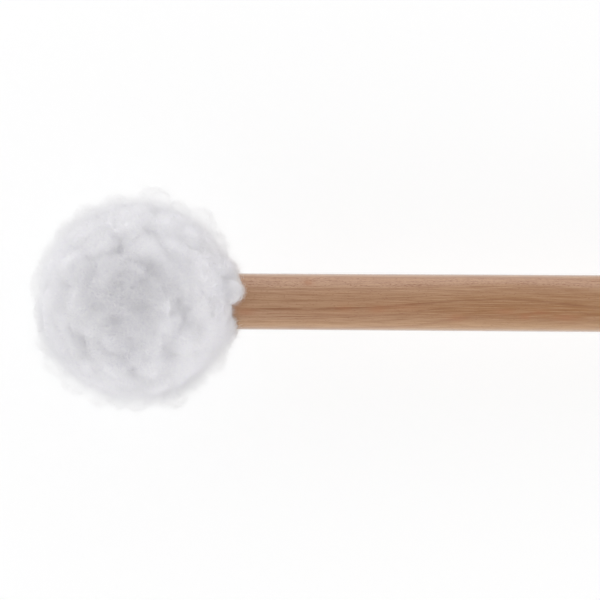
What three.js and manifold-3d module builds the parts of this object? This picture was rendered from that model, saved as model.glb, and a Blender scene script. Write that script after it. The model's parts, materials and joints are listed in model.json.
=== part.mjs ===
// A bass drum mallet, lying as it rests on a table: a turned wooden handle with a round head. The head's core
// is screwed to the handle's tenon, and wrapped in felt and in a white fleece cover drawn shut at the neck.
// The mallet is built along +X, from the middle of the head towards the butt, and then tipped until the
// fleece and the butt both touch the plane z = 0. Lengths are in millimetres and angles in radians.

import * as THREE from "three";
import { mergeVertices } from "three/addons/utils/BufferGeometryUtils.js";
import Module from "manifold-3d";

const wasm = await Module();
wasm.setup();

// Clearances
const seatGap = 0.3; // between two pieces that touch
const cutOverrun = 5; // how far a cut runs past what it cuts

// Handle
const overallLength = 375; // from the front of the fleece to the butt
const neckDiameter = 15.9; // where the handle leaves the head
const buttDiameter = 16.8;
const buttRounding = 2.5;
const shoulderWidth = 1.95; // of the step from the neck down to the tenon
const tenonRecess = 0.5; // from the front washer back to the tenon's end
const tenonChamfer = 0.6;

// Core, with a flat at the rear for the shoulder washer and a counterbore at the front for the screw
const coreDiameter = 33.4;
const coreFlatDepth = 2.2;

// Washers
const shoulderWasherThickness = 2;
const frontWasherDiameter = 16;
const frontWasherThickness = 1.2;

// Core screw
const screwDiameter = 4.2; // over the thread
const screwThreadDepth = 0.6;
const screwLength = 22; // under the head
const screwPitch = 2;
const screwPointLength = 4;
const screwHeadDiameter = 8.4;
const screwHeadHeight = 2;
const screwHeadRounding = 0.7;
const screwHeadCover = 0.4; // from the screw's top out to the core's pole
const recessWidth = 1.1;
const recessLength = 4.6;
const recessDepth = 1.3;

// Layers over the core
const linerThickness = 3.7;
const backingThickness = 1.2;
const pileDepth = 9; // from the knit backing to the tufts' tops

// Gathering thread, wound round the cover's hem on the neck
const threadDiameter = 0.8;
const threadTurns = 2;
const threadSpacing = 0.5; // between one turn and the next
const hemMargin = 0.3; // of hem left bare behind the thread

// Tufts of the pile
const tuftHeight = 3; // from the valleys between the tufts to their tops
const tuftHeightSpreadShare = 0.3;
const tuftReach = 6.2; // from a tuft's middle to its rim, on average
const tuftReachSpreadShare = 0.2;
const tuftSpacingShare = 1.42; // of the reach, the least distance between the middles of two tufts
const spiralPlaces = 420; // places tried over the whole head, of which the spacing keeps about one in four
const restTuftReach = 7.5; // of the tuft that the head rests on
const restFlattening = 1.5; // how deep the table presses that tuft
const upperTuftShares = [
  // Tufts on the head's upper side: [along the handle, across it, reach], as shares of the head's radius.
  [-0.24, 0.31, 0.2],
  [-0.53, -0.02, 0.22],
  [-0.36, -0.23, 0.18],
  [-0.15, -0.38, 0.19],
  [0.1, -0.23, 0.2],
  [0.19, -0.42, 0.15],
  [0.27, -0.06, 0.14],
  [0.43, 0.18, 0.16],
  [0.05, 0.27, 0.17],
  [-0.09, -0.02, 0.18],
  [0.09, 0.52, 0.22],
  [0.45, 0.55, 0.2],
  [-0.33, 0.61, 0.2],
  [0.67, 0.26, 0.17],
  [0.3, 0.34, 0.15],
  [0.32, -0.26, 0.14],
  [0.56, -0.4, 0.2],
  [-0.6, -0.45, 0.2],
  [-0.62, 0.37, 0.2],
  [0.7, -0.1, 0.18],
  [0.2, -0.7, 0.2],
  [-0.2, -0.68, 0.2],
];

// Roundness: sides round the axis, and steps along an arc from pole to pole
const handleSides = 40;
const layerSides = 32;
const layerSteps = 12;
const screwSides = 16;
const threadSides = 6;
const threadStepsPerTurn = 24;
const roundingSteps = 4;
const pileSides = 64;
const pileSteps = 32;
const mergeTolerance = 1e-4;

// Radii that follow from the sizes above
const neckRadius = neckDiameter / 2;
const buttRadius = buttDiameter / 2;
const tenonRadius = neckRadius - shoulderWidth;
const coreRadius = coreDiameter / 2;
const counterboreRadius = frontWasherDiameter / 2 + seatGap;
const linerInnerRadius = coreRadius + seatGap;
const linerOuterRadius = linerInnerRadius + linerThickness;
const backingInnerRadius = linerOuterRadius + seatGap;
const backingOuterRadius = backingInnerRadius + backingThickness;
const pileInnerRadius = backingOuterRadius + seatGap;
const headRadius = pileInnerRadius + pileDepth;
const neckHoleRadius = neckRadius + seatGap;

// Places along the axis, from the middle of the head at 0
const coreFlatX = coreRadius - coreFlatDepth;
const shoulderX = coreFlatX + seatGap + shoulderWasherThickness + seatGap;
const screwSeatX = screwHeadCover + screwHeadHeight - coreRadius;
const counterboreFloorX = screwSeatX + seatGap + frontWasherThickness + seatGap;
const tenonLength = shoulderX - counterboreFloorX - tenonRecess;
const handleLength = overallLength - headRadius - shoulderX; // without the tenon

// Hem of the knit backing, and the thread wound on it
const hemRadius = neckHoleRadius + backingThickness;
const threadWindingRadius = hemRadius + seatGap + threadDiameter / 2;
const threadPitch = threadDiameter + threadSpacing;
const hemStartX = Math.sqrt(backingOuterRadius ** 2 - hemRadius ** 2);
const threadStartX = hemStartX + seatGap + threadDiameter / 2;
const threadEndX = threadStartX + threadTurns * threadPitch;
const hemEndX = threadEndX + threadDiameter / 2 + hemMargin;

// Pose at rest: the middle of the head is at headHeight, and the handle tips down to the table by restTilt
const headHeight = headRadius - restFlattening;
const buttCornerX = overallLength - headRadius - buttRounding;
const buttCornerRadius = buttRadius - buttRounding;
const restTilt =
  Math.asin((headHeight - buttRounding) / Math.hypot(buttCornerX, buttCornerRadius)) -
  Math.atan2(buttCornerRadius, buttCornerX);

// Materials
const material = (color, roughness, metalness = 0) =>
  new THREE.MeshStandardMaterial({ color, roughness, metalness });
const hickory = material("#b98e6e", 0.4);
const maple = material("#d8bd93", 0.6);
const hardFelt = material("#d9d3c4", 0.95);
const softFelt = material("#e6e3da", 0.95);
const knit = material("#e9e9ea", 0.9);
const fleece = material("#e8e8ec", 1);
const waxedThread = material("#dcd8cc", 0.7);
const zincSteel = material("#b9bcc0", 0.35, 1);

// Points [x, radius] of an arc about a centre on or off the axis. An angle of 0 points to the front (-X), and
// a quarter turn points away from the axis.
function arc(centreX, centreRadius, radius, fromAngle, toAngle, steps) {
  return Array.from({ length: steps + 1 }, (_, i) => {
    const angle = THREE.MathUtils.lerp(fromAngle, toAngle, i / steps);
    return [centreX - radius * Math.cos(angle), centreRadius + radius * Math.sin(angle)];
  });
}

// The arc angle at which a sphere round the head's middle reaches a distance from the axis, at the rear.
const rearAngle = (sphereRadius, distance) => Math.PI - Math.asin(distance / sphereRadius);

// The body that an outline of [x, radius] points makes as it turns about the X axis.
function turned(outline, sides) {
  const points = outline.map(([x, radius]) => new THREE.Vector2(radius, x));
  return new THREE.LatheGeometry(points, sides).rotateZ(-Math.PI / 2);
}

function solidOf(geometry) {
  const bare = geometry.clone();
  bare.deleteAttribute("normal");
  bare.deleteAttribute("uv");
  const merged = mergeVertices(bare, mergeTolerance);
  const vertProperties = merged.attributes.position.array;
  const triVerts = new Uint32Array(merged.index.array);
  return new wasm.Manifold(new wasm.Mesh({ numProp: 3, vertProperties, triVerts }));
}

function geometryOf(solid) {
  const mesh = solid.getMesh();
  const geometry = new THREE.BufferGeometry();
  geometry.setAttribute("position", new THREE.BufferAttribute(mesh.vertProperties, 3));
  geometry.setIndex(new THREE.BufferAttribute(mesh.triVerts, 1));
  geometry.computeVertexNormals();
  return geometry;
}

// The handle, with its shoulder at 0: a tapered shaft with a rounded butt, and a tenon bored for the screw.
function handle() {
  const boreRadius = screwDiameter / 2 + seatGap;
  const boreEndX = screwSeatX + screwLength + seatGap - shoulderX;
  const outline = [
    [boreEndX, 0],
    [boreEndX, boreRadius],
    [-tenonLength, boreRadius],
    [-tenonLength, tenonRadius - tenonChamfer],
    [tenonChamfer - tenonLength, tenonRadius],
    [0, tenonRadius],
    [0, neckRadius],
    ...arc(handleLength - buttRounding, buttCornerRadius, buttRounding, Math.PI / 2, Math.PI, roundingSteps),
    [handleLength, 0],
  ];
  return turned(outline, handleSides);
}

// A flat ring that starts at 0.
function washer(thickness, holeRadius, rimRadius) {
  const outline = [
    [0, holeRadius],
    [0, rimRadius],
    [thickness, rimRadius],
    [thickness, holeRadius],
    [0, holeRadius],
  ];
  return turned(outline, layerSides);
}

// The core: a ball bored through for the tenon.
function core() {
  const boreRadius = tenonRadius + seatGap;
  const counterboreAngle = Math.asin(counterboreRadius / coreRadius);
  const flatAngle = Math.acos(-coreFlatX / coreRadius);
  const outline = [
    [counterboreFloorX, boreRadius],
    [counterboreFloorX, counterboreRadius],
    ...arc(0, 0, coreRadius, counterboreAngle, flatAngle, layerSteps),
    [coreFlatX, boreRadius],
    [counterboreFloorX, boreRadius],
  ];
  return turned(outline, layerSides);
}

// The wood screw, with its seat at 0: a pan head with a cross recess, and a ridged shank with a point.
function coreScrew() {
  const crestRadius = screwDiameter / 2;
  const rootRadius = crestRadius - screwThreadDepth;
  const rimRadius = screwHeadDiameter / 2;
  const ridges = Math.floor((screwLength - screwPointLength) / screwPitch);
  const thread = Array.from({ length: ridges }, (_, i) => [
    [(i + 1 / 2) * screwPitch, crestRadius],
    [(i + 1) * screwPitch, rootRadius],
  ]).flat();
  const cornerX = screwHeadRounding - screwHeadHeight;
  const outline = [
    [-screwHeadHeight, 0],
    ...arc(cornerX, rimRadius - screwHeadRounding, screwHeadRounding, 0, Math.PI / 2, roundingSteps),
    [0, rimRadius],
    [0, rootRadius],
    ...thread,
    [screwLength, 0],
  ];
  const cutHeight = recessDepth + cutOverrun;
  const cutX = recessDepth - screwHeadHeight - cutHeight / 2;
  const slot = (width, length) => new THREE.BoxGeometry(cutHeight, width, length).translate(cutX, 0, 0);
  const recess = solidOf(slot(recessWidth, recessLength)).add(solidOf(slot(recessLength, recessWidth)));
  return geometryOf(solidOf(turned(outline, screwSides)).subtract(recess));
}

// The felt wrapped round the core, open at the rear where it hugs the neck.
function feltLiner() {
  const outline = [
    ...arc(0, 0, linerOuterRadius, 0, rearAngle(linerOuterRadius, neckHoleRadius), layerSteps),
    ...arc(0, 0, linerInnerRadius, rearAngle(linerInnerRadius, neckHoleRadius), 0, layerSteps),
  ];
  return turned(outline, layerSides);
}

// The fleece's knit backing, drawn in at the rear to a hem that lies along the neck.
function knitBacking() {
  const outline = [
    ...arc(0, 0, backingOuterRadius, 0, rearAngle(backingOuterRadius, hemRadius), layerSteps),
    [hemEndX, hemRadius],
    [hemEndX, neckHoleRadius],
    ...arc(0, 0, backingInnerRadius, rearAngle(backingInnerRadius, neckHoleRadius), 0, layerSteps),
  ];
  return turned(outline, layerSides);
}

// The path of the thread round the hem.
class Winding extends THREE.Curve {
  getPoint(share, target = new THREE.Vector3()) {
    const angle = share * threadTurns * 2 * Math.PI;
    const x = THREE.MathUtils.lerp(threadStartX, threadEndX, share);
    return target.set(x, threadWindingRadius * Math.cos(angle), threadWindingRadius * Math.sin(angle));
  }
}

// The thread that draws the cover's hem tight on the neck.
function gatheringThread() {
  const circle = new THREE.EllipseCurve(0, 0, threadDiameter / 2, threadDiameter / 2);
  const section = new THREE.Shape(circle.getPoints(threadSides).slice(1));
  return new THREE.ExtrudeGeometry(section, {
    extrudePath: new Winding(),
    steps: threadTurns * threadStepsPerTurn,
  });
}

// A number from 0 to 1 that seems random, but is always the same for the same index and stride.
const scattered = (index, stride) => (index * stride) % 1;

// The tufts, each with its direction from the middle of the head, its reach as an angle and its height: the
// one that the head rests on, then those of the upper side, then others on a spiral wherever there is room.
function placeTufts() {
  const down = new THREE.Vector3(Math.sin(restTilt), 0, -Math.cos(restTilt));
  const tufts = [{ direction: down, reach: restTuftReach / headRadius, height: tuftHeight }];
  const addTuft = (direction, reach) => {
    const height = tuftHeight * (1 - tuftHeightSpreadShare * scattered(tufts.length, Math.SQRT2));
    tufts.push({ direction, reach, height });
  };
  for (const [along, across, reach] of upperTuftShares) {
    const up = Math.sqrt(1 - along ** 2 - across ** 2);
    addTuft(new THREE.Vector3(along, across, up), reach);
  }
  const goldenAngle = Math.PI * (3 - Math.sqrt(5));
  for (let i = 0; i < spiralPlaces; i++) {
    const along = 1 - (2 * i + 1) / spiralPlaces;
    const away = Math.sqrt(1 - along ** 2);
    const turn = i * goldenAngle;
    const direction = new THREE.Vector3(along, away * Math.cos(turn), away * Math.sin(turn));
    const spread = tuftReachSpreadShare * (2 * scattered(i, Math.E) - 1);
    const reach = (tuftReach / headRadius) * (1 + spread);
    const isClear = (tuft) =>
      tuft.direction.angleTo(direction) > (tuftSpacingShare * (tuft.reach + reach)) / 2;
    if (tufts.every(isClear)) addTuft(direction, reach);
  }
  return tufts;
}

// How far the pile's surface lies from the middle of the head in a direction. Each tuft is a round cap that
// stands on the valleys' level, and the highest cap counts.
function pileRadius(direction, tufts) {
  const heights = tufts.map((tuft) => {
    const share = tuft.direction.angleTo(direction) / tuft.reach;
    return share < 1 ? tuft.height * Math.sqrt(1 - share ** 2) : 0;
  });
  return headRadius - tuftHeight + Math.max(...heights);
}

// The pile: a ball of tufts, hollow for the backing, the thread and the neck, and pressed flat where it
// rests. tableBlock fills the space under the table's surface.
function fleecePile(tableBlock) {
  const ball = turned(arc(0, 0, headRadius, 0, Math.PI, pileSteps), pileSides);
  const tufts = placeTufts();
  const places = ball.attributes.position;
  const place = new THREE.Vector3();
  for (let i = 0; i < places.count; i++) {
    place.fromBufferAttribute(places, i).normalize();
    place.multiplyScalar(pileRadius(place, tufts));
    places.setXYZ(i, place.x, place.y, place.z);
  }
  const threadRoomRadius = threadWindingRadius + threadDiameter / 2 + seatGap;
  const hollow = [
    ...arc(0, 0, pileInnerRadius, 0, rearAngle(pileInnerRadius, threadRoomRadius), layerSteps),
    [hemEndX + seatGap, threadRoomRadius],
    [hemEndX + seatGap, neckHoleRadius],
    [headRadius + cutOverrun, neckHoleRadius],
    [headRadius + cutOverrun, 0],
  ];
  const cuts = solidOf(turned(hollow, layerSides)).add(solidOf(tableBlock));
  return geometryOf(solidOf(ball).subtract(cuts));
}

function addPiece(group, name, geometry, look, x = 0) {
  const mesh = new THREE.Mesh(geometry, look);
  mesh.name = name;
  mesh.position.x = x;
  group.add(mesh);
}

const mallet = new THREE.Group();
mallet.position.z = headHeight;
mallet.rotation.y = restTilt;
mallet.updateMatrixWorld();

// The space under the table, in the mallet's own frame
const tableSide = 2 * (headRadius + cutOverrun);
const tableBlock = new THREE.BoxGeometry(tableSide, tableSide, tableSide)
  .translate(0, 0, -tableSide / 2)
  .applyMatrix4(mallet.matrixWorld.clone().invert());

const head = new THREE.Group();
addPiece(head, "head_core", core(), maple);
addPiece(head, "felt_liner", feltLiner(), softFelt);
addPiece(head, "knit_backing", knitBacking(), knit);
addPiece(head, "gathering_thread", gatheringThread(), waxedThread);
addPiece(head, "fleece_pile", fleecePile(tableBlock), fleece);

const fastening = new THREE.Group();
fastening.position.x = screwSeatX;
const frontWasher = washer(frontWasherThickness, screwDiameter / 2 + seatGap, frontWasherDiameter / 2);
addPiece(fastening, "core_screw", coreScrew(), zincSteel);
addPiece(fastening, "front_washer", frontWasher, zincSteel, seatGap);

const shaft = new THREE.Group();
shaft.position.x = shoulderX;
const shoulderWasher = washer(shoulderWasherThickness, tenonRadius + seatGap, neckRadius);
addPiece(shaft, "handle", handle(), hickory);
addPiece(shaft, "shoulder_washer", shoulderWasher, hardFelt, -seatGap - shoulderWasherThickness);

mallet.add(head, fastening, shaft);

// The origin is on the table, under the middle of the mallet's length
const extent = new THREE.Box3().setFromObject(mallet, true);
mallet.position.x = -(extent.min.x + extent.max.x) / 2;

const root = new THREE.Group();
root.add(mallet);

export default root;
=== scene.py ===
"""A bass drum mallet that lies on a white table, seen square to its handle from above.

Everything is in metres in the part's frame: +X runs from the head to the butt along the table, and +Z is
up. The mallet itself is built in its own frame, with the middle of the head at 0 and +X along the handle,
and placed by to_table, which tips it down to the table. Materials measure in millimetres in that own frame.
"""

import json
import math

import bpy
import numpy as np
from mathutils import Matrix, Vector


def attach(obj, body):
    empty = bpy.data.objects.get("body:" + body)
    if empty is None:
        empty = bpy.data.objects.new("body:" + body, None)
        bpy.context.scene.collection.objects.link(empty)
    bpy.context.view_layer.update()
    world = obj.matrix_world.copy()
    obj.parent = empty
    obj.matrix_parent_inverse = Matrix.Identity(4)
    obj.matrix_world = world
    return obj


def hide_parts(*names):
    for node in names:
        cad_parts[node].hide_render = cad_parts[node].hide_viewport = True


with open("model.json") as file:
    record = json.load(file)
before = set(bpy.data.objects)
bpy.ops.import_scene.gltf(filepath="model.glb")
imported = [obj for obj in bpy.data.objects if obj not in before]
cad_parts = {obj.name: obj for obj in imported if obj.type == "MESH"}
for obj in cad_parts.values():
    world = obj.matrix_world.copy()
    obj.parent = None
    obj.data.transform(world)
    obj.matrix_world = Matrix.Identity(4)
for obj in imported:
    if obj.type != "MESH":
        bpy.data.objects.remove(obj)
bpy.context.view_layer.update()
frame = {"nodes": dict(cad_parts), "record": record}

# Photograph, in pixels of its frame
PHOTO_SIDE = 600
PHOTO_HANDLE_WIDTH = 56
PHOTO_HEAD_X = 137
PHOTO_AXIS_Y = 301.8  # of the handle's axis, at the middle of the photograph
PHOTO_AXIS_FALL = math.radians(0.34)  # to the right

# Camera
LENS = 0.15
SENSOR = 0.036
FARTHEST_SEEN = 20

# Light and table. The two skies are the world's light from straight above and from the horizon.
ZENITH_SKY = (0.05, 0.05, 0.06)
HORIZON_SKY = (2.28, 2.28, 2.26)
WHITE = (1, 1, 1)
SOFTBOX_PLACE = (0, 0.85, 0.6)
SOFTBOX_LENGTH = 0.7
SOFTBOX_WIDTH = 0.4
SOFTBOX_POWER = 0.3
TABLE_SIDE = 6
TABLE_WHITE = (0.9, 0.9, 0.9, 1)
TABLE_SHADED = (0.3, 0.3, 0.3, 1)  # what the camera sees, with the glow added
TABLE_GLOW = 0.765

# Handle, as in the part
NECK_RADIUS = 0.00795
BUTT_RADIUS = 0.0084
BUTT_ROUNDING = 0.0025
TENON_RADIUS = 0.006
TENON_CHAMFER = 0.0006
TENON_X = -0.0116
SHOULDER_X = 0.0171
BORE_RADIUS = 0.0024
BORE_END_X = 0.008
HANDLE_SIDES = 128
HANDLE_RINGS = 40
ROUNDING_STEPS = 10
EDGE_EASE = 0.0002
SHARP_ANGLE = math.radians(40)

# Head, as in the part
HEAD_RADIUS = 0.0315
PILE_INNER_RADIUS = 0.0225
TUFT_REACH = 0.0062
TUFT_REACH_SPREAD_SHARE = 0.2
TUFT_SPACING_SHARE = 1.42
SPIRAL_PLACES = 420
REST_TUFT_REACH = 0.0075
UPPER_TUFT_SHARES = [
    # Tufts on the head's upper side: along the handle, across it and reach, as shares of the head's
    # radius.
    (-0.24, 0.31, 0.2),
    (-0.53, -0.02, 0.22),
    (-0.36, -0.23, 0.18),
    (-0.15, -0.38, 0.19),
    (0.1, -0.23, 0.2),
    (0.19, -0.42, 0.15),
    (0.27, -0.06, 0.14),
    (0.43, 0.18, 0.16),
    (0.05, 0.27, 0.17),
    (-0.09, -0.02, 0.18),
    (0.09, 0.52, 0.22),
    (0.45, 0.55, 0.2),
    (-0.33, 0.61, 0.2),
    (0.67, 0.26, 0.17),
    (0.3, 0.34, 0.15),
    (0.32, -0.26, 0.14),
    (0.56, -0.4, 0.2),
    (-0.6, -0.45, 0.2),
    (-0.62, 0.37, 0.2),
    (0.7, -0.1, 0.18),
    (0.2, -0.7, 0.2),
    (-0.2, -0.68, 0.2),
]
SMALL_TUFT_SHARES = [
    # Smaller ones between them, which the part leaves out.
    (-0.02, 0.15, 0.12),
    (-0.2, 0.14, 0.12),
    (-0.24, -0.19, 0.1),
    (0.11, 0.05, 0.12),
    (-0.27, -0.09, 0.12),
    (-0.29, 0.07, 0.13),
    (-0.47, 0.25, 0.13),
    (0.23, 0.13, 0.13),
    (0.57, 0.08, 0.13),
    (-0.72, -0.2, 0.15),
    (-0.07, 0.74, 0.16),
    (0.03, -0.55, 0.14),
    (-0.45, -0.66, 0.14),
    (0.66, 0.45, 0.13),
]

# Dense fleece under the loose fibres. The head is smallest in the valleys between the tufts.
VALLEY_RADIUS = 0.0264
TUFT_HEIGHT = 0.0011
TUFT_HEIGHT_SPREAD_SHARE = 0.25
TUFT_ROUNDNESS = 0.5
TUFT_DEPTH = 0.004
MERGE_POWER = 8
PUFF_COUNT = 560
PUFF_REACH = 0.0034
PUFF_REACH_SPREAD_SHARE = 0.35
PUFF_HEIGHT = 0.0008
LOWEST_PUFF_SHARE = 0.6
NECK_TUFTS = [
    # Small tufts round the neck: turn from the top in degrees, reach as a share of the head's radius, and
    # height.
    (17, 0.13, 0.004),
    (46, 0.13, 0.0023),
    (-44, 0.1, 0.0018),
    (70, 0.18, 0.002),
    (-72, 0.18, 0.0016),
    (120, 0.15, 0.002),
    (160, 0.15, 0.0014),
    (200, 0.15, 0.002),
    (240, 0.16, 0.0016),
]
NECK_TUFT_ALONG_SHARE = 0.945
NECK_START_SHARE = 0.85
NECK_LENGTH_SHARE = 0.1
COLLAR_HEIGHT = 0.0012
PILE_SIDES = 300
PILE_RINGS = 240
INNER_RINGS = 24
FIRST_RING_ANGLE = 0.004
LAST_RING_ANGLE = 0.02
DIRECTIONS_AT_ONCE = 4000
TABLE_CLEARANCE = 0.00005
NECK_CLEARANCE = 0.0002
RANDOM_SEED = 7

# Swirls, smooth random directions that change over the given size
SWIRL_WAVES = 24
CURL_SIZE = 0.0032
BILLOW_SIZE = 0.008
BILLOW_SHARE = 0.15
SWELL_SIZE = 0.012
SWELL_HEIGHT = 0.0002

# Loose fibres: short fuzz all over, and longer wisps. Their reach is given over the valleys and over the
# tufts.
FUZZ = {
    "pieces": 6, "count": 24000, "radius": 0.000027, "root_depth": 0.0001, "steps": 1, "lean": 0.9,
    "valley_reach": 0.0013, "tuft_reach": 0.0012, "shortest_share": 0.5, "uneven_share": 0.1,
    "tuft_spread_share": 0.0, "neck_trim_share": 0.0,
}
WISPS = {
    "pieces": 4, "count": 9000, "radius": 0.000022, "root_depth": 0.0004, "steps": 3, "lean": 0.6,
    "valley_reach": 0.0028, "tuft_reach": 0.0046, "shortest_share": 0.1, "uneven_share": 0.15,
    "tuft_spread_share": 0.2, "neck_trim_share": 0.35,
}

# Fibres that curl round the tufts, about as far out as the middle share of each tuft's radius
CURLS = {
    "pieces": 5, "count": 7600, "radius": 0.000022, "steps": 4, "length": 0.003, "shortest_share": 0.5,
    "outward": 0.8, "middle_share": 0.9, "spread_share": 0.1, "stray": 0.0002,
}

# The tufts that they curl round, and how far those stand out over the valleys
CURLED_TUFT_SHARE = 0.95
CURLED_TUFT_TOP = 0.0062
CURLED_PUFF_TOP = 0.005
CURLED_PUFF_COUNT = 300
LOWEST_TOP_SHARE = 0.5
CURLED_END_SHARE = 0.9  # of the head's radius, towards the neck
RIM_TUFTS = [
    # Tufts that stand out round the head's outline, seen from above: turn from the handle in degrees,
    # reach as a share of the head's radius, and top over the valleys.
    (37, 0.17, 0.0049),
    (51, 0.19, 0.0068),
    (66, 0.15, 0.005),
    (80, 0.2, 0.0066),
    (104, 0.17, 0.005),
    (120, 0.18, 0.0048),
    (136, 0.17, 0.0048),
    (153, 0.15, 0.0038),
    (171, 0.17, 0.0048),
    (188, 0.15, 0.003),
    (205, 0.16, 0.005),
    (219, 0.18, 0.0062),
    (233, 0.17, 0.0062),
    (249, 0.14, 0.0058),
    (260, 0.14, 0.0051),
    (270, 0.13, 0.0055),
    (281, 0.14, 0.0045),
    (292, 0.15, 0.0065),
    (307, 0.16, 0.0045),
    (323, 0.16, 0.0051),
]
RIM_SHARE = 0.35  # how near the outline's plane the other tufts are kept low
RIM_TOP = 0.0038
RIM_STRAY_SHARE = 0.15
RIM_DENSE_SHARE = 0.1
RIM_DENSE_REACH_SHARE = 1.1
RIM_CROWD = 2.1
CURLED_NECK_COUNT = 5  # the first ones, on the upper side
NECK_CURL_RISE = 0.002
NECK_CROWD = 6
FIBRE_TIP_SHARE = 0.4
FIBRE_CURL = 0.7
ROOT_CURL_SHARE = 0.4
FIBRE_STRAY = 0.5
FIBRE_CURVE_SHARE = 1.3
FIBRE_SIDES = 3

# Wool: colours, and the depth to which it lets light in
FLEECE_SHADED = (0.89, 0.875, 0.945)
FLEECE_PALE = (0.92, 0.905, 0.975)
FLEECE_LIGHT_DEPTH = 0.008
FIBRES_SHADED = (0.983, 0.98, 0.991)
FIBRES_PALE = (0.991, 0.988, 0.998)
FIBRES_LIGHT_DEPTH = 0.0025
WOOL_MOTTLE_SIZE = (9, 9, 9)
WOOL_RELIEF_SIZE = (0.5, 0.5, 0.5)

# Wood grain, in millimetres from the handle's axis towards +Y: place, half width and darkness of each line
GRAIN_LINES = [
    (-7.2, 0.25, 0.5),
    (-5.7, 0.2, 0.3),
    (-4.3, 0.2, 0.6),
    (-2.1, 0.35, 1.0),
    (0.4, 0.25, 0.35),
    (2.0, 0.2, 0.35),
    (3.5, 0.22, 0.6),
    (6.9, 0.25, 0.6),
]
GRAIN_SPAN = 9
LINE_SOFTNESS = 2.2
GRAIN_WANDER = 1.2
GRAIN_WANDER_SIZE = (40, 8, 5)
GRAIN_SWELLS = [
    # Where the lines bow sideways: middle along the handle, length and height, in millimetres.
    (103, 26, 3.9),
    (178, 30, -2.4),
    (243, 24, 3.1),
    (305, 22, -2.0),
]
SWELL_ACROSS = (-2.0, 6.0)  # middle and half width, as in the hearts and bands that follow

# Browner heartwood along the handle, bands of other colours across it, and pores
HEARTS = [(118, 42)] + [(middle, length) for middle, length, _ in GRAIN_SWELLS[1:]]
HEART_SHARE = 0.8
HEART_FADE_SHARE = 0.45
BROWN_BAND = (-2.8, 3.0)
BROWN_SHARE = 0.8
# Paler, yellower stripe along the handle towards -Y: partly the wood's own tone, partly painted light
# falling on that side.
LOWER_TONE_AND_PAINTED_LIGHT_BAND = (-6.6, 1.6)
LOWER_TONE_AND_PAINTED_LIGHT_SHARE = 0.6
# Paler band along the grain towards +Y: partly the wood's pale figure, partly a painted highlight of the
# lamp over the far side.
PALE_FIGURE_AND_HIGHLIGHT_BAND = (5.5, 1.4)
PALE_FIGURE_AND_HIGHLIGHT_SHARE = 0.8
PORE_BANDS = [(4.6, 0.5), (5.5, 0.4), (6.4, 0.35)]
PORE_SIZE = (0.9, 0.16, 0.16)
PORE_PATCH_SIZE = (7, 1.2, 1.2)
PORE_CROWDING = 0.17
PORE_RARITY = 0.2
PORE_SHARE = 0.6
PATCH_SIZE = (30, 4, 4)
STREAK_SIZE = (9, 0.27, 0.27)

# Wood colours
TAN = (0.465, 0.264, 0.152)
PATCH_TAN = (0.43, 0.229, 0.124)
HEART_TAN = (0.395, 0.2, 0.09)
HEART_BROWN = (0.355, 0.155, 0.052)
# Paler, yellower tan: partly the wood's own tone, partly painted light on the -Y side.
LOWER_TONE_AND_PAINTED_LIGHT_TAN = (0.5, 0.302, 0.151)
# Paler, whiter tan: partly the wood's pale figure, partly a painted highlight.
PALE_FIGURE_AND_HIGHLIGHT_TAN = (0.53, 0.325, 0.22)
LINE_BROWN = (0.285, 0.115, 0.05)
STREAK_PALE = (0.57, 0.355, 0.205)
STREAK_DARK = (0.3, 0.132, 0.057)
PORE_BROWN = (0.285, 0.116, 0.062)
FLECK_RED = (0.43, 0.17, 0.075)

# Flecks: middle along and across the handle, half length and half width in millimetres, and strength
FLECKS = [
    (48.6, 5.4, 1.4, 0.9, 0.5),
    (31, -2.9, 2.6, 1.0, 0.5),
    (59, -1.7, 2.6, 1.3, 0.3),
    (68, -2.0, 2.6, 1.2, 0.45),
    (75.5, -1.3, 5, 1.2, 0.3),
    (90.5, -4.3, 2.4, 1.1, 0.45),
    (104, -2.4, 2.6, 0.8, 0.45),
    (109.6, -3.8, 1.6, 0.8, 0.6),
    (113.5, -2.6, 2.4, 0.7, 0.5),
    (121, -4.0, 3.6, 0.9, 0.5),
]

# Finishes inside the head: colours, and sizes in millimetres
HARD_FELT = {"pale": (0.8, 0.76, 0.66), "shaded": (0.56, 0.52, 0.43), "fibre_size": 0.15}
SOFT_FELT = {"pale": (0.88, 0.86, 0.8), "shaded": (0.68, 0.66, 0.59), "fibre_size": 0.3}
FELT_MOTTLE_SIZE = (4, 4, 4)
FELT_FIBRE_STRETCH = 4
MAPLE_PALE = (0.72, 0.54, 0.32)
MAPLE_LATE = (0.56, 0.37, 0.2)
MAPLE_RING_WIDTH = 2.6
MAPLE_RING_WANDER = 5.0
MAPLE_RING_WANDER_SIZE = (20, 6, 6)
KNIT_COLUMNS = 96
KNIT_SHADED = (0.62, 0.62, 0.64)
KNIT_PALE = (0.86, 0.86, 0.87)
THREAD_TWISTS = 44
THREAD_SHADED = (0.5, 0.46, 0.36)
THREAD_PALE = (0.76, 0.73, 0.63)
ZINC_DARK = (0.44, 0.46, 0.5)
ZINC_BRIGHT = (0.6, 0.61, 0.62)
ZINC_CLOUD_SIZE = (3, 3, 3)
ZINC_MARK_SIZE = (0.08, 3, 3)

# How fast their patterns run along the axis, in radians per millimetre
MAPLE_GROOVE_RATE = 14.0
KNIT_ROW_RATE = 6.0
THREAD_PLY_RATE = 3.0

METRES_PER_MILLIMETRE = 0.001
NEXT_TO_AXIS = 1e-9

mounts = {mount["name"]: mount for mount in frame["record"]["mounts"]}
butt = Vector(mounts["butt_end"]["pos_m"])
axis = Vector(mounts["butt_end"]["axis"]).normalized()
rest_x = mounts["head_rest"]["pos_m"][0]
head_middle = butt - axis * ((butt.x - rest_x) / axis.x)
butt_x = (butt - head_middle).length
side = Vector((0, 1, 0))
upper = axis.cross(side)
to_table = Matrix((axis, side, upper)).transposed().to_4x4()
to_table.translation = head_middle
tilt = math.atan2(-axis.z, axis.x)


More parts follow.
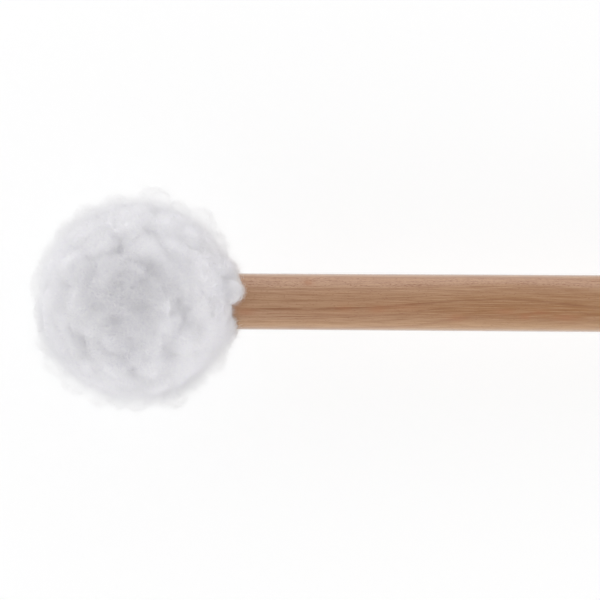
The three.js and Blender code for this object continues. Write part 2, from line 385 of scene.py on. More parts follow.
# Meshes

def mesh_object(name, vertices, faces, material):
    """A smooth mesh, made in the mallet's own frame and placed on the table."""
    mesh = bpy.data.meshes.new(name)
    mesh.from_pydata(vertices.tolist(), [], faces)
    mesh.transform(to_table)
    mesh.polygons.foreach_set("use_smooth", [True] * len(mesh.polygons))
    mesh.update()
    made = bpy.data.objects.new(name, mesh)
    bpy.context.scene.collection.objects.link(made)
    mesh.materials.append(material)
    return made


def turned_faces(ring_count, sides):
    """Quads between rings of vertices."""
    faces = []
    for ring in range(ring_count - 1):
        here = ring * sides
        after = here + sides
        for i in range(sides):
            j = (i + 1) % sides
            faces.append((here + i, here + j, after + j, after + i))
    return faces


def turned_points(outline, sides):
    """Vertices of an outline of (x, radius) points turned about the X axis."""
    turn = np.arange(sides) * 2 * math.pi / sides
    x, radius = np.array(outline, float).T
    return np.stack([
        np.repeat(x, sides),
        np.outer(radius, np.cos(turn)).ravel(),
        np.outer(radius, np.sin(turn)).ravel(),
    ], axis=1)


def capped(vertices, faces, sides, first_x, last_x):
    """Closes a turned shell at its first and last ring with fans round points on the axis."""
    first_pole = len(vertices)
    last = first_pole - sides
    vertices = np.concatenate([vertices, [[first_x, 0, 0], [last_x, 0, 0]]])
    for i in range(sides):
        j = (i + 1) % sides
        faces.append((first_pole, j, i))
        faces.append((first_pole + 1, last + i, last + j))
    return vertices, faces


def unit_rows(rows):
    return rows / np.maximum(np.linalg.norm(rows, axis=1, keepdims=True), NEXT_TO_AXIS)


# Handle

def handle_shape():
    """Vertices and faces of the handle: a tapered shaft with a rounded butt, and a tenon with its bore."""
    corner_x = butt_x - BUTT_ROUNDING
    corner_radius = BUTT_RADIUS - BUTT_ROUNDING
    start_x = SHOULDER_X + EDGE_EASE
    outline = [
        (BORE_END_X, BORE_RADIUS),
        (TENON_X, BORE_RADIUS),
        (TENON_X, TENON_RADIUS - TENON_CHAMFER),
        (TENON_X + TENON_CHAMFER, TENON_RADIUS),
        (SHOULDER_X, TENON_RADIUS),
        (SHOULDER_X, NECK_RADIUS - EDGE_EASE),
    ]
    for i in range(HANDLE_RINGS + 1):
        share = i / HANDLE_RINGS
        outline.append((
            start_x + (corner_x - start_x) * share,
            NECK_RADIUS + (BUTT_RADIUS - NECK_RADIUS) * share,
        ))
    for i in range(1, ROUNDING_STEPS + 1):
        angle = math.pi / 2 * i / ROUNDING_STEPS
        outline.append((
            corner_x + BUTT_ROUNDING * math.sin(angle),
            corner_radius + BUTT_ROUNDING * math.cos(angle),
        ))
    vertices = turned_points(outline, HANDLE_SIDES)
    faces = turned_faces(len(outline), HANDLE_SIDES)
    return capped(vertices, faces, HANDLE_SIDES, BORE_END_X, butt_x)


# Fleece

def scattered(index, stride):
    return index * stride % 1


def angle_between(a, b):
    return np.arccos(np.clip(a @ b.T, -1, 1))


def upper_direction(along, across):
    return np.array([along, across, math.sqrt(1 - along**2 - across**2)])


def place_tufts():
    """The part's tufts and the small ones: directions, reaches as angles and heights as shares."""
    down = np.array([math.sin(tilt), 0, -math.cos(tilt)])
    directions, reaches, heights = [down], [REST_TUFT_REACH / HEAD_RADIUS], [1]

    def add(direction, reach):
        drop = TUFT_HEIGHT_SPREAD_SHARE * scattered(len(directions), math.sqrt(2))
        directions.append(direction)
        reaches.append(reach)
        heights.append(1 - drop)

    for along, across, reach in UPPER_TUFT_SHARES:
        add(upper_direction(along, across), reach)
    golden_angle = math.pi * (3 - math.sqrt(5))
    for i in range(SPIRAL_PLACES):
        along = 1 - (2 * i + 1) / SPIRAL_PLACES
        away = math.sqrt(1 - along**2)
        turn = i * golden_angle
        direction = np.array([along, away * math.cos(turn), away * math.sin(turn)])
        spread = TUFT_REACH_SPREAD_SHARE * (2 * scattered(i, math.e) - 1)
        reach = TUFT_REACH / HEAD_RADIUS * (1 + spread)
        room = TUFT_SPACING_SHARE * (np.array(reaches) + reach) / 2
        if (angle_between(np.array(directions), direction) > room).all():
            add(direction, reach)
    for along, across, reach in SMALL_TUFT_SHARES:
        add(upper_direction(along, across), reach)
    return np.array(directions), np.array(reaches), np.array(heights)


def merged(heights):
    """About the highest of each row of heights, with a soft change from one to another."""
    return (heights**MERGE_POWER).sum(axis=1) ** (1 / MERGE_POWER)


def merged_caps(directions, middles, reaches, heights):
    """The height over each direction of soft round caps that merge where they meet."""
    raised = np.zeros(len(directions))
    for start in range(0, len(directions), DIRECTIONS_AT_ONCE):
        part = slice(start, start + DIRECTIONS_AT_ONCE)
        share = angle_between(directions[part], middles) / reaches
        raised[part] = merged(heights * np.clip(1 - share**2, 0, None) ** TUFT_ROUNDNESS)
    return raised


def random_directions(count, rng):
    return unit_rows(rng.normal(size=(count, 3)))


def make_swirl(size, rng):
    """A smooth field of random vectors, about one long, that changes over the given size."""
    waves = rng.normal(size=(3, SWIRL_WAVES)) * 2 / size
    phases = rng.uniform(0, 2 * math.pi, SWIRL_WAVES)
    vectors = random_directions(SWIRL_WAVES, rng) * math.sqrt(2 / SWIRL_WAVES)
    return lambda places: np.sin(places @ waves + phases) @ vectors


def tuft_shares(directions):
    """How high the tufts stand in each direction, as a share of their height."""
    bend = BILLOW_SHARE * TUFT_REACH / HEAD_RADIUS * billow(directions * HEAD_RADIUS)
    return merged_caps(unit_rows(directions + bend), *tufts)


def place_puffs(rng):
    """Smaller tufts all over, then those round the neck: directions, reaches as angles, and heights."""
    spread = rng.uniform(1 - PUFF_REACH_SPREAD_SHARE, 1 + PUFF_REACH_SPREAD_SHARE, PUFF_COUNT)
    reaches = PUFF_REACH / HEAD_RADIUS * spread
    heights = PUFF_HEIGHT * rng.uniform(LOWEST_PUFF_SHARE, 1, PUFF_COUNT)
    turn, neck_reaches, neck_heights = np.array(NECK_TUFTS).T
    turn = np.radians(turn)
    along = np.full(len(turn), NECK_TUFT_ALONG_SHARE)
    away = math.sqrt(1 - NECK_TUFT_ALONG_SHARE**2)
    over_neck = np.stack([along, away * np.sin(turn), away * np.cos(turn)], axis=1)
    return (
        np.concatenate([random_directions(PUFF_COUNT, rng), over_neck]),
        np.concatenate([reaches, neck_reaches]),
        np.concatenate([heights, neck_heights]),
    )


def place_rim(rng):
    """The tufts round the outline: their directions, reaches as angles, and tops over the valleys."""
    turn, reaches, tops = np.array(RIM_TUFTS).T
    turn = np.radians(turn)
    stray = RIM_STRAY_SHARE * rng.uniform(-1, 1, len(turn))
    return unit_rows(np.stack([np.cos(turn), np.sin(turn), stray], axis=1)), reaches, tops


def near_neck(directions):
    """A share that grows from 0 to 1 towards the neck."""
    return np.clip((directions[:, 0] - NECK_START_SHARE) / NECK_LENGTH_SHARE, 0, 1)


def outside_handle(places):
    away = np.hypot(places[..., 1], places[..., 2])
    return (places[..., 0] < 0) | (away > NECK_RADIUS + NECK_CLEARANCE)


def dense_radii(directions):
    """How far the dense fleece reaches in each direction."""
    large = TUFT_HEIGHT * tuft_shares(directions)
    small = merged_caps(directions, *puffs)
    middles, reaches, tops = rim
    at_rim = merged_caps(directions, middles, reaches * RIM_DENSE_REACH_SHARE, tops * RIM_DENSE_SHARE)
    raised = merged(np.stack([large, small, at_rim], axis=1))
    swelling = SWELL_HEIGHT * swell(directions * HEAD_RADIUS)[:, 0]
    return VALLEY_RADIUS + raised + swelling + COLLAR_HEIGHT * near_neck(directions)


def fleece_shape():
    """Vertices and faces of the dense fleece: a shell open at the neck, with tufts outside."""
    neck_hole = NECK_RADIUS + NECK_CLEARANCE
    outer_end = math.pi - math.asin(neck_hole / VALLEY_RADIUS)
    inner_end = math.pi - math.asin(neck_hole / PILE_INNER_RADIUS)
    outer_angles = np.linspace(FIRST_RING_ANGLE, outer_end, PILE_RINGS)
    inner_angles = np.linspace(inner_end, LAST_RING_ANGLE, INNER_RINGS)
    angles = np.concatenate([outer_angles, inner_angles])
    unit = turned_points(np.stack([-np.cos(angles), np.sin(angles)], axis=1), PILE_SIDES)
    outside = slice(PILE_RINGS * PILE_SIDES)
    radii = np.full(len(unit), PILE_INNER_RADIUS)
    radii[outside] = dense_radii(unit[outside])
    vertices = unit * radii[:, None]
    away = np.hypot(vertices[:, 1], vertices[:, 2])
    in_hole = (vertices[:, 0] > 0) & (away < neck_hole)
    widen = np.where(in_hole, neck_hole / np.maximum(away, NEXT_TO_AXIS), 1)
    vertices[:, 1:] *= widen[:, None]
    faces = turned_faces(len(angles), PILE_SIDES)
    return capped(vertices, faces, PILE_SIDES, -radii[0], -PILE_INNER_RADIUS)


def press_on_table(obj):
    """Flattens what would be under the table's surface."""
    for vertex in obj.data.vertices:
        vertex.co.z = max(vertex.co.z, TABLE_CLEARANCE)


def fibre_roots(count, rng):
    """Directions from the middle of the head all over the fleece, but not over the handle."""
    directions = random_directions(2 * count, rng)
    clear = outside_handle(directions * dense_radii(directions)[:, None])
    return directions[clear][:count]


def fibre_paths(directions, kind, rng):
    """Points along curly fibres that grow out of the fleece, in the mallet's own frame."""
    count = len(directions)
    growth = 1 + kind["uneven_share"] * billow(directions * HEAD_RADIUS)[:, 1]
    longer = (kind["tuft_reach"] - kind["valley_reach"]) * tuft_shares(directions)
    longest = kind["valley_reach"] + longer
    middles, reaches, _ = tufts
    nearest = (angle_between(directions, middles) / reaches).argmin(axis=1)
    growth *= 1 + kind["tuft_spread_share"] * (2 * scattered(nearest, math.sqrt(3)) - 1)
    growth *= 1 - kind["neck_trim_share"] * near_neck(directions)
    reach = longest * growth * rng.uniform(kind["shortest_share"], 1, count)
    paths = [directions * (dense_radii(directions) - kind["root_depth"])[:, None]]
    from_tuft = unit_rows(paths[0] - middles[nearest] * (VALLEY_RADIUS - TUFT_DEPTH))
    outward = unit_rows(from_tuft + kind["lean"] * rng.normal(size=(count, 3)))
    for i in range(kind["steps"]):
        stray = FIBRE_STRAY * rng.normal(size=(count, 3))
        bend = FIBRE_CURL * (ROOT_CURL_SHARE + i / kind["steps"]) * curl(paths[-1])
        heading = unit_rows(outward + bend + stray)
        paths.append(paths[-1] + heading * (reach / kind["steps"] * FIBRE_CURVE_SHARE)[:, None])
    return np.stack(paths, axis=1)


def place_curled(rng):
    """The tufts that fibres curl round, as spheres: directions, radii, tops, and how crowded they are."""
    directions = np.concatenate([tufts[0], puffs[0][:CURLED_PUFF_COUNT]])
    reaches = np.concatenate([tufts[1] * CURLED_TUFT_SHARE, puffs[1][:CURLED_PUFF_COUNT]])
    highest = np.full(len(directions), CURLED_PUFF_TOP)
    highest[:len(tufts[0])] = CURLED_TUFT_TOP
    tops = highest * rng.uniform(LOWEST_TOP_SHARE, 1, len(directions))
    at_rim = np.abs(directions[:, 2]) < RIM_SHARE
    tops[at_rim] = np.minimum(tops[at_rim], RIM_TOP)
    clear = directions[:, 0] < CURLED_END_SHARE
    neck = [part[PUFF_COUNT:PUFF_COUNT + CURLED_NECK_COUNT] for part in puffs]
    return (
        np.concatenate([directions[clear], rim[0], neck[0]]),
        np.concatenate([reaches[clear], rim[1], neck[1]]) * HEAD_RADIUS,
        np.concatenate([tops[clear], rim[2], neck[2] + NECK_CURL_RISE]) + VALLEY_RADIUS,
        np.repeat([1, RIM_CROWD, NECK_CROWD], [clear.sum(), len(rim[0]), len(neck[0])]),
    )


def curl_paths(kind, rng):
    """Points along arcs that wrap round the curled tufts, in the mallet's own frame."""
    directions, radii, tops, crowds = curled
    fibres = crowds * radii**2
    tuft = rng.choice(len(radii), 2 * kind["count"], p=fibres / fibres.sum())
    outward = unit_rows(kind["outward"] * directions[tuft] + random_directions(len(tuft), rng))
    middles = directions[tuft] * (tops - radii)[tuft][:, None]
    radius = radii[tuft] * rng.normal(kind["middle_share"], kind["spread_share"], len(tuft))
    along = unit_rows(np.cross(outward, random_directions(len(tuft), rng)))
    step = kind["length"] * rng.uniform(kind["shortest_share"], 1, len(tuft)) / kind["steps"]
    points = []
    for i in range(kind["steps"] + 1):
        angle = (i * step / radius)[:, None]
        point = middles + radius[:, None] * (outward * np.cos(angle) + along * np.sin(angle))
        points.append(point + kind["stray"] * rng.normal(size=point.shape))
    paths = np.stack(points, axis=1)
    out_of_fleece = np.linalg.norm(paths[:, 0], axis=1) > VALLEY_RADIUS
    clear = outside_handle(paths).all(axis=1)
    return paths[out_of_fleece & clear][:kind["count"]]


def kept_clear(paths, radius):
    """The paths on the table, moved out of the handle and up from the table's surface."""
    flat = paths.reshape(-1, 3)
    away = np.hypot(flat[:, 1], flat[:, 2])
    least = NECK_RADIUS + 2 * radius
    inside = (flat[:, 0] > 0) & (away < least)
    flat[inside, 1:] *= (least / np.maximum(away[inside], NEXT_TO_AXIS))[:, None]
    placed = flat @ np.array(to_table.to_3x3()).T + np.array(head_middle)
    placed[:, 2] = np.maximum(placed[:, 2], TABLE_CLEARANCE + 2 * radius)
    return placed.reshape(paths.shape)


def fibre_mesh(paths, radius):
    """Closed, tapered three-sided tubes along the paths."""
    count, rings, _ = paths.shape
    heading = np.gradient(paths, axis=1)
    heading /= np.maximum(np.linalg.norm(heading, axis=2, keepdims=True), NEXT_TO_AXIS)
    least_aligned = np.eye(3)[np.abs(heading).argmin(axis=2)]
    across = np.cross(heading, least_aligned)
    across /= np.linalg.norm(across, axis=2, keepdims=True)
    upright = np.cross(heading, across)
    taper = radius * np.linspace(1, FIBRE_TIP_SHARE, rings)
    turn = np.arange(FIBRE_SIDES) * 2 * math.pi / FIBRE_SIDES
    offset = across[:, :, None] * np.cos(turn)[:, None] + upright[:, :, None] * np.sin(turn)[:, None]
    vertices = (paths[:, :, None] + taper[:, None, None] * offset).reshape(-1, 3)
    one = []
    for ring in range(rings - 1):
        here, after = ring * FIBRE_SIDES, (ring + 1) * FIBRE_SIDES
        for i in range(FIBRE_SIDES):
            j = (i + 1) % FIBRE_SIDES
            one.append((here + i, here + j, after + j))
            one.append((here + i, after + j, after + i))
    last = (rings - 1) * FIBRE_SIDES
    one.append((2, 1, 0))
    one.append((last, last + 1, last + 2))
    faces = np.array(one)[None] + (np.arange(count) * rings * FIBRE_SIDES)[:, None, None]
    return vertices, faces.reshape(-1, 3)


def triangle_object(name, vertices, triangles, material):
    """A large flat-shaded mesh of triangles, already in its place on the table."""
    mesh = bpy.data.meshes.new(name)
    mesh.vertices.add(len(vertices))
    mesh.vertices.foreach_set("co", vertices.ravel())
    mesh.loops.add(triangles.size)
    mesh.loops.foreach_set("vertex_index", triangles.ravel())
    mesh.polygons.add(len(triangles))
    mesh.polygons.foreach_set("loop_start", np.arange(0, triangles.size, 3))
    mesh.polygons.foreach_set("use_smooth", np.zeros(len(triangles), bool))
    mesh.update(calc_edges=True)
    mesh.validate()
    mesh.materials.append(material)
    made = bpy.data.objects.new(name, mesh)
    bpy.context.scene.collection.objects.link(made)
    return made


# Material nodes

def new_material(name):
    made = bpy.data.materials.new(name)
    made.use_nodes = True
    return made, made.node_tree


def add_node(tree, kind, inputs=None, **settings):
    node = tree.nodes.new(kind)
    for name, value in settings.items():
        setattr(node, name, value)
    for name, value in (inputs or {}).items():
        if isinstance(value, bpy.types.NodeSocket):
            tree.links.new(value, node.inputs[name])
        else:
            node.inputs[name].default_value = value
    return node


def calculate(tree, operation, a, b=0.0, c=0.0):
    inputs = {0: a, 1: b, 2: c}
    return add_node(tree, "ShaderNodeMath", inputs, operation=operation).outputs[0]


def blended(tree, share, low, high):
    """The mix of two colours by a share from 0 to 1."""
    node = add_node(tree, "ShaderNodeMix", data_type="RGBA")
    for name, value in (("Factor", share), ("A", low), ("B", high)):
        socket = next(s for s in node.inputs if s.name == name and s.enabled)
        if isinstance(value, bpy.types.NodeSocket):
            tree.links.new(value, socket)
        else:
            socket.default_value = value if name == "Factor" else (*value, 1)
    return next(s for s in node.outputs if s.enabled)


def ramp(tree, value, stops):
    """A value or colour read from stops of (place, value or colour)."""
    node = add_node(tree, "ShaderNodeValToRGB", {"Fac": value})
    elements = node.color_ramp.elements
    while len(elements) > 1:
        elements.remove(elements[-1])
    for i, (place, shade) in enumerate(stops):
        element = elements[0] if i == 0 else elements.new(place)
        element.position = place
        element.color = (shade, shade, shade, 1) if isinstance(shade, (int, float)) else (*shade, 1)
    return node.outputs["Color"]


def mallet_place(tree, stretch=(1, 1, 1)):
    """The place in the mallet's own frame in millimetres, with each axis divided by its stretch."""
    place = add_node(tree, "ShaderNodeTexCoord").outputs["Object"]
    own = add_node(tree, "ShaderNodeMapping", {
        "Vector": place,
        "Location": head_middle,
        "Rotation": (0, tilt, 0),
        "Scale": (METRES_PER_MILLIMETRE,) * 3,
    }, vector_type="TEXTURE").outputs["Vector"]
    return add_node(tree, "ShaderNodeMapping", {
        "Vector": own,
        "Scale": tuple(1 / s for s in stretch),
    }, vector_type="POINT").outputs["Vector"]


def split_place(tree, place):
    axes = add_node(tree, "ShaderNodeSeparateXYZ", {"Vector": place})
    return axes.outputs[0], axes.outputs[1], axes.outputs[2]


def noise(tree, place, detail=2.0, roughness=0.5):
    return add_node(tree, "ShaderNodeTexNoise", {
        "Vector": place, "Scale": 1.0, "Detail": detail, "Roughness": roughness,
    }).outputs["Fac"]


def bell(tree, value, middle, width):
    """A smooth hump of height 1 round the middle."""
    offset = calculate(tree, "DIVIDE", calculate(tree, "SUBTRACT", value, middle), width)
    return calculate(tree, "POWER", math.exp(-1), calculate(tree, "MULTIPLY", offset, offset))


def highest_bell(tree, value, bells):
    highest = 0.0
    for middle, width in bells:
        highest = calculate(tree, "MAXIMUM", highest, bell(tree, value, middle, width))
    return highest


def tinted(tree, colour, tint, place, strength):
    """The colour turned to a tint by a place's share and a strength."""
    return blended(tree, calculate(tree, "MULTIPLY", place, strength), colour, tint)


def bump(tree, height, distance, strength):
    return add_node(tree, "ShaderNodeBump", {
        "Height": height, "Distance": distance, "Strength": strength,
    }).outputs["Normal"]


def finish_material(tree, constants, **linked):
    """Sets the Principled node's constant inputs and links the others."""
    shader = tree.nodes["Principled BSDF"]
    for name, value in constants.items():
        shader.inputs[name].default_value = value
    for name, socket in linked.items():
        tree.links.new(socket, shader.inputs[name.replace("_", " ")])


# Materials

def fleece_material(name, shaded, pale, light_depth):
    """Slightly uneven white wool, which lets light in to the given depth, as a soft mat does."""
    made, tree = new_material(name)
    mottle = noise(tree, mallet_place(tree, WOOL_MOTTLE_SIZE), detail=4)
    colour = blended(tree, ramp(tree, mottle, [(0.35, 0.0), (0.65, 1.0)]), shaded, pale)
    fine = noise(tree, mallet_place(tree, WOOL_RELIEF_SIZE), detail=3)
    finish_material(
        tree,
        {
            "Roughness": 1.0,
            "Specular IOR Level": 0.1,
            "Subsurface Weight": 1.0,
            "Subsurface Radius": (1, 1, 1),
            "Subsurface Scale": light_depth,
        },
        Base_Color=colour,
        Normal=bump(tree, fine, distance=0.0003, strength=0.6),
    )
    return made


def grain_offset(tree):
    """How far a place is from the handle's axis across the growth rings, in millimetres."""
    x, y, _ = split_place(tree, mallet_place(tree))
    bow = 0.0
    for middle, length, height in GRAIN_SWELLS:
        bow = calculate(tree, "MULTIPLY_ADD", bell(tree, x, middle, length), height, bow)
    held = calculate(tree, "MULTIPLY", bow, bell(tree, y, *SWELL_ACROSS))
    offset = calculate(tree, "SUBTRACT", y, held)
    warp = noise(tree, mallet_place(tree, GRAIN_WANDER_SIZE), detail=1)
    return calculate(tree, "MULTIPLY_ADD", calculate(tree, "SUBTRACT", warp, 0.5), GRAIN_WANDER, offset)


def grain_lines(tree, offset):
    """Darkness of the growth rings' lines, each sharp on its upper side and soft on its lower one."""
    share = calculate(tree, "DIVIDE", calculate(tree, "ADD", offset, GRAIN_SPAN), 2 * GRAIN_SPAN)
    stops = [(0.0, 0.0)]
    for place, width, darkness in GRAIN_LINES:
        for shift, value in ((-LINE_SOFTNESS * width, 0.0), (0, darkness), (width, 0.0)):
            stops.append(((place + shift + GRAIN_SPAN) / (2 * GRAIN_SPAN), value))
    return ramp(tree, share, stops)


def pores(tree, offset):
    """Short dark dashes along the grain, crowded in a few bands."""
    cells = noise(tree, mallet_place(tree, PORE_SIZE), detail=1)
    patches = noise(tree, mallet_place(tree, PORE_PATCH_SIZE), detail=1)
    patchy = ramp(tree, patches, [(0.35, 0.3), (0.6, 1.0)])
    crowd = calculate(tree, "MULTIPLY", highest_bell(tree, offset, PORE_BANDS), patchy)
    rare = calculate(tree, "SUBTRACT", cells, PORE_RARITY)
    level = calculate(tree, "MULTIPLY_ADD", crowd, PORE_CROWDING, rare)
    return ramp(tree, level, [(0.44, 0.0), (0.52, 1.0)])


def flecked(tree, colour):
    """The colour with small reddish flecks where the photograph shows them."""
    x, y, _ = split_place(tree, mallet_place(tree))
    for middle_x, middle_y, length, width, share in FLECKS:
        spot = calculate(tree, "MULTIPLY", bell(tree, x, middle_x, length), bell(tree, y, middle_y, width))
        colour = tinted(tree, colour, FLECK_RED, spot, share)
    return colour


def wood_material():
    """Straight-grained hardwood under a clear satin lacquer."""
    made, tree = new_material("lacquered_hardwood")
    offset = grain_offset(tree)
    x, y, _ = split_place(tree, mallet_place(tree))
    heart = highest_bell(tree, x, HEARTS)
    brown = calculate(tree, "MULTIPLY", heart, bell(tree, y, *BROWN_BAND))
    patches = noise(tree, mallet_place(tree, PATCH_SIZE), detail=2)
    colour = blended(tree, ramp(tree, patches, [(0.38, 0.0), (0.62, 1.0)]), TAN, PATCH_TAN)
    colour = tinted(tree, colour, HEART_TAN, heart, HEART_SHARE)
    colour = tinted(tree, colour, HEART_BROWN, brown, BROWN_SHARE)
    # Painted light along the -Y side, partly the wood's yellower tone.
    colour = tinted(tree, colour, LOWER_TONE_AND_PAINTED_LIGHT_TAN, bell(tree, y, *LOWER_TONE_AND_PAINTED_LIGHT_BAND), LOWER_TONE_AND_PAINTED_LIGHT_SHARE)
    # Painted highlight towards +Y, partly the wood's pale figure.
    colour = tinted(tree, colour, PALE_FIGURE_AND_HIGHLIGHT_TAN, bell(tree, offset, *PALE_FIGURE_AND_HIGHLIGHT_BAND), PALE_FIGURE_AND_HIGHLIGHT_SHARE)
    faded = calculate(tree, "MULTIPLY_ADD", heart, -HEART_FADE_SHARE, 1.0)
    colour = tinted(tree, colour, LINE_BROWN, grain_lines(tree, offset), faded)
    streaks = noise(tree, mallet_place(tree, STREAK_SIZE), detail=3, roughness=0.65)
    colour = blended(tree, ramp(tree, streaks, [(0.45, 0.0), (0.8, 0.8)]), colour, STREAK_PALE)
    colour = blended(tree, ramp(tree, streaks, [(0.2, 0.7), (0.5, 0.0)]), colour, STREAK_DARK)
    colour = tinted(tree, colour, PORE_BROWN, pores(tree, offset), PORE_SHARE)
    finish_material(
        tree,
        {
            "Roughness": 0.5,
            "Specular IOR Level": 0.0,
            "Coat Weight": 1.0,
            "Coat Roughness": 0.22,
            "Coat IOR": 1.45,
            "Sheen Weight": 1.0,
            "Sheen Roughness": 0.35,
        },
        Base_Color=flecked(tree, colour),
        Normal=bump(tree, streaks, distance=0.00004, strength=0.3),
    )
    return made


def bare_wood_material():
    """Pale turned wood, with growth rings and the fine grooves of the lathe."""
    made, tree = new_material("turned_maple")
    x, y, z = split_place(tree, mallet_place(tree))
    warp = noise(tree, mallet_place(tree, MAPLE_RING_WANDER_SIZE), detail=2)
    ring = calculate(tree, "MULTIPLY_ADD", warp, MAPLE_RING_WANDER, calculate(tree, "ADD", y, z))
    phase = calculate(tree, "FRACT", calculate(tree, "DIVIDE", ring, MAPLE_RING_WIDTH))
    late = ramp(tree, phase, [(0.0, 0.1), (0.6, 0.0), (0.9, 0.8), (1.0, 0.1)])
    colour = blended(tree, late, MAPLE_PALE, MAPLE_LATE)
    grooves = calculate(tree, "SINE", calculate(tree, "MULTIPLY", x, MAPLE_GROOVE_RATE))
    relief = bump(tree, grooves, distance=0.00005, strength=0.3)
    finish_material(tree, {"Roughness": 0.6}, Base_Color=colour, Normal=relief)
    return made


def felt_material(name, pale, shaded, fibre_size):
    """Matted wool, with its fibres as fine relief of the given size in millimetres."""
    made, tree = new_material(name)
    mottle = noise(tree, mallet_place(tree, FELT_MOTTLE_SIZE), detail=3)
    stretch = (fibre_size * FELT_FIBRE_STRETCH, fibre_size, fibre_size)
    fibres = noise(tree, mallet_place(tree, stretch), detail=3, roughness=0.7)
    colour = blended(tree, calculate(tree, "MULTIPLY", mottle, fibres), shaded, pale)
    finish_material(
        tree,
        {"Roughness": 0.95, "Sheen Weight": 0.3, "Sheen Roughness": 0.6},
        Base_Color=colour,
        Normal=bump(tree, fibres, distance=0.0003, strength=0.7),
    )
    return made


def around(tree, count):
    """An angle that makes the given number of turns round the handle's axis."""
    _, y, z = split_place(tree, mallet_place(tree))
    return calculate(tree, "MULTIPLY", calculate(tree, "ARCTAN2", z, y), count)


def knit_material():
    """Fine jersey: columns of stitches round the head."""
    made, tree = new_material("knit")
    x, _, _ = split_place(tree, mallet_place(tree))
    zigzag = calculate(tree, "ABSOLUTE", calculate(tree, "SINE", around(tree, KNIT_COLUMNS)))
    row = calculate(tree, "SINE", calculate(tree, "MULTIPLY_ADD", x, KNIT_ROW_RATE, zigzag))
    stitch = calculate(tree, "MULTIPLY_ADD", row, 0.25, calculate(tree, "MULTIPLY_ADD", zigzag, 0.5, 0.25))
    colour = blended(tree, stitch, KNIT_SHADED, KNIT_PALE)
    relief = bump(tree, stitch, distance=0.0003, strength=0.8)
    finish_material(tree, {"Roughness": 0.9}, Base_Color=colour, Normal=relief)
    return made


def thread_material():
    """Waxed thread of a few plies, twisted."""
    made, tree = new_material("waxed_thread")
    x, _, _ = split_place(tree, mallet_place(tree))
    twist = calculate(tree, "MULTIPLY_ADD", x, THREAD_PLY_RATE, around(tree, THREAD_TWISTS))
    ply = calculate(tree, "MULTIPLY_ADD", calculate(tree, "SINE", twist), 0.5, 0.5)
    colour = blended(tree, ply, THREAD_SHADED, THREAD_PALE)
    relief = bump(tree, ply, distance=0.0002, strength=0.7)
    finish_material(tree, {"Roughness": 0.55}, Base_Color=colour, Normal=relief)
    return made


def zinc_material():
    """Bright zinc plate with faint turning marks and a slightly uneven shine."""
    made, tree = new_material("zinc_plate")
    clouds = noise(tree, mallet_place(tree, ZINC_CLOUD_SIZE), detail=3)
    marks = noise(tree, mallet_place(tree, ZINC_MARK_SIZE), detail=1)
    colour = blended(tree, clouds, ZINC_DARK, ZINC_BRIGHT)
    finish_material(
        tree,
        {"Metallic": 1.0},
        Base_Color=colour,
        Roughness=calculate(tree, "MULTIPLY_ADD", clouds, 0.2, 0.22),
        Normal=bump(tree, marks, distance=0.00003, strength=0.4),
    )
    return made


# Stage

def make_world():
    """Light from all round, strongest near the horizon, and a white background."""
    world = bpy.data.worlds.new("studio")
    bpy.context.scene.world = world
    world.use_nodes = True
    tree = world.node_tree
    background = tree.nodes["Background"]
    direction = add_node(tree, "ShaderNodeTexCoord").outputs["Generated"]
    height = split_place(tree, direction)[2]
    low = calculate(tree, "SUBTRACT", 1.0, calculate(tree, "MULTIPLY", height, height))
    level = calculate(tree, "MULTIPLY", low, low)
    light = blended(tree, level, ZENITH_SKY, HORIZON_SKY)
    path = add_node(tree, "ShaderNodeLightPath")
    seen = calculate(tree, "MAXIMUM", path.outputs["Is Camera Ray"], path.outputs["Is Glossy Ray"])
    seen = calculate(tree, "MAXIMUM", seen, path.outputs["Is Transmission Ray"])
    tree.links.new(blended(tree, seen, light, WHITE), background.inputs["Color"])


def make_softbox():
    """A soft lamp high over the far side, for the sheen along the handle."""
    lamp = bpy.data.lights.new("softbox", "AREA")
    lamp.shape = "RECTANGLE"
    lamp.size = SOFTBOX_LENGTH
    lamp.size_y = SOFTBOX_WIDTH
    lamp.energy = SOFTBOX_POWER
    box = bpy.data.objects.new("softbox", lamp)
    place = Vector(SOFTBOX_PLACE)
    box.location = place
    box.rotation_euler = place.to_track_quat("Z", "X").to_euler()
    box.visible_camera = False
    bpy.context.scene.collection.objects.link(box)


def make_floor():
    """A white table. The camera sees it glow under a soft shadow, and other rays meet plain white."""
    made, tree = new_material("white_table")
    path = add_node(tree, "ShaderNodeLightPath")
    seen = calculate(tree, "MAXIMUM", path.outputs["Is Glossy Ray"], path.outputs["Is Transmission Ray"])
    lit = add_node(tree, "ShaderNodeBsdfDiffuse", {"Color": TABLE_WHITE}).outputs[0]
    shaded = add_node(tree, "ShaderNodeBsdfDiffuse", {"Color": TABLE_SHADED}).outputs[0]
    glow = add_node(tree, "ShaderNodeEmission", {"Strength": TABLE_GLOW}).outputs[0]
    white = add_node(tree, "ShaderNodeEmission", {"Strength": 1.0}).outputs[0]
    shown = add_node(tree, "ShaderNodeAddShader", {0: shaded, 1: glow}).outputs[0]
    first = add_node(tree, "ShaderNodeMixShader", {0: path.outputs["Is Camera Ray"], 1: lit, 2: shown})
    second = add_node(tree, "ShaderNodeMixShader", {0: seen, 1: first.outputs[0], 2: white})
    output = tree.nodes["Material Output"]
    tree.links.new(second.outputs[0], output.inputs["Surface"])
    bpy.ops.mesh.primitive_plane_add(size=TABLE_SIDE)
    floor = bpy.context.object
    floor.name = "table"
    floor.data.materials.append(made)


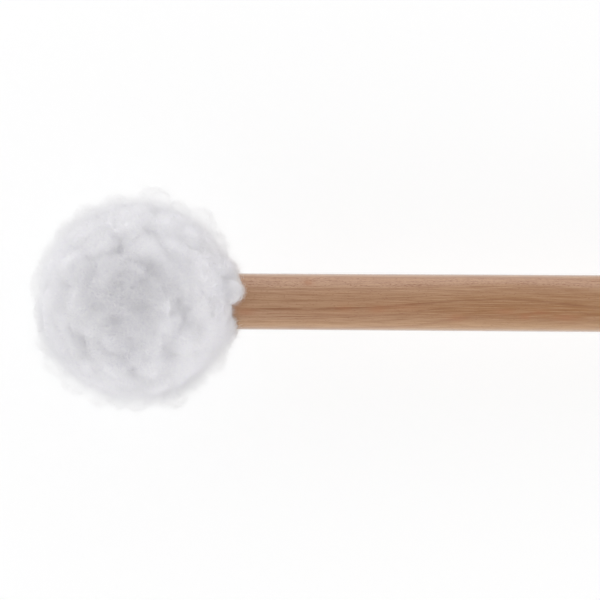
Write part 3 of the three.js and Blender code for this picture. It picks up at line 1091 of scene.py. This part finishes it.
def make_camera():
    scale = 2 * NECK_RADIUS / PHOTO_HANDLE_WIDTH
    middle = PHOTO_SIDE / 2
    along = (middle - PHOTO_HEAD_X) * scale
    across = (PHOTO_AXIS_Y - middle) * scale
    distance = PHOTO_SIDE * scale * LENS / SENSOR
    data = bpy.data.cameras.new("camera")
    data.lens = LENS / METRES_PER_MILLIMETRE
    data.sensor_width = SENSOR / METRES_PER_MILLIMETRE
    data.clip_end = FARTHEST_SEEN
    camera = bpy.data.objects.new("camera", data)
    place = Matrix.Translation((along, across, distance))
    camera.matrix_world = to_table @ place @ Matrix.Rotation(PHOTO_AXIS_FALL, 4, "Z")
    bpy.context.scene.collection.objects.link(camera)
    bpy.context.scene.camera = camera


make_camera()
make_world()
make_softbox()
make_floor()
bpy.context.scene.view_settings.view_transform = "Standard"

rng = np.random.default_rng(RANDOM_SEED)
tufts = place_tufts()
billow = make_swirl(BILLOW_SIZE, rng)
curl = make_swirl(CURL_SIZE, rng)
swell = make_swirl(SWELL_SIZE, rng)
puffs = place_puffs(rng)
rim = place_rim(rng)
curled = place_curled(rng)

fleece = fleece_material("fleece", FLEECE_SHADED, FLEECE_PALE, FLEECE_LIGHT_DEPTH)
surface = mesh_object("fleece_pile_dense", *fleece_shape(), fleece)
press_on_table(surface)
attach(surface, "root")
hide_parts("fleece_pile")

wool = fleece_material("wool_fibres", FIBRES_SHADED, FIBRES_PALE, FIBRES_LIGHT_DEPTH)
for name, kind in (("fuzz", FUZZ), ("wisps", WISPS), ("curls", CURLS)):
    for number in range(1, kind["pieces"] + 1):
        if kind is CURLS:
            grown = curl_paths(kind, rng)
        else:
            grown = fibre_paths(fibre_roots(kind["count"], rng), kind, rng)
        paths = kept_clear(grown, kind["radius"])
        fibres = triangle_object(f"fleece_{name}_{number}", *fibre_mesh(paths, kind["radius"]), wool)
        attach(fibres, "root")

shaft = mesh_object("handle_turned", *handle_shape(), wood_material())
shaft.data.set_sharp_from_angle(angle=SHARP_ANGLE)
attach(shaft, "root")
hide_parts("handle")

zinc = zinc_material()
finishes = {
    "shoulder_washer": felt_material("hard_felt", **HARD_FELT),
    "felt_liner": felt_material("soft_felt", **SOFT_FELT),
    "head_core": bare_wood_material(),
    "knit_backing": knit_material(),
    "gathering_thread": thread_material(),
    "front_washer": zinc,
    "core_screw": zinc,
}
for node, finish in finishes.items():
    materials = frame["nodes"][node].data.materials
    materials.clear()
    materials.append(finish)
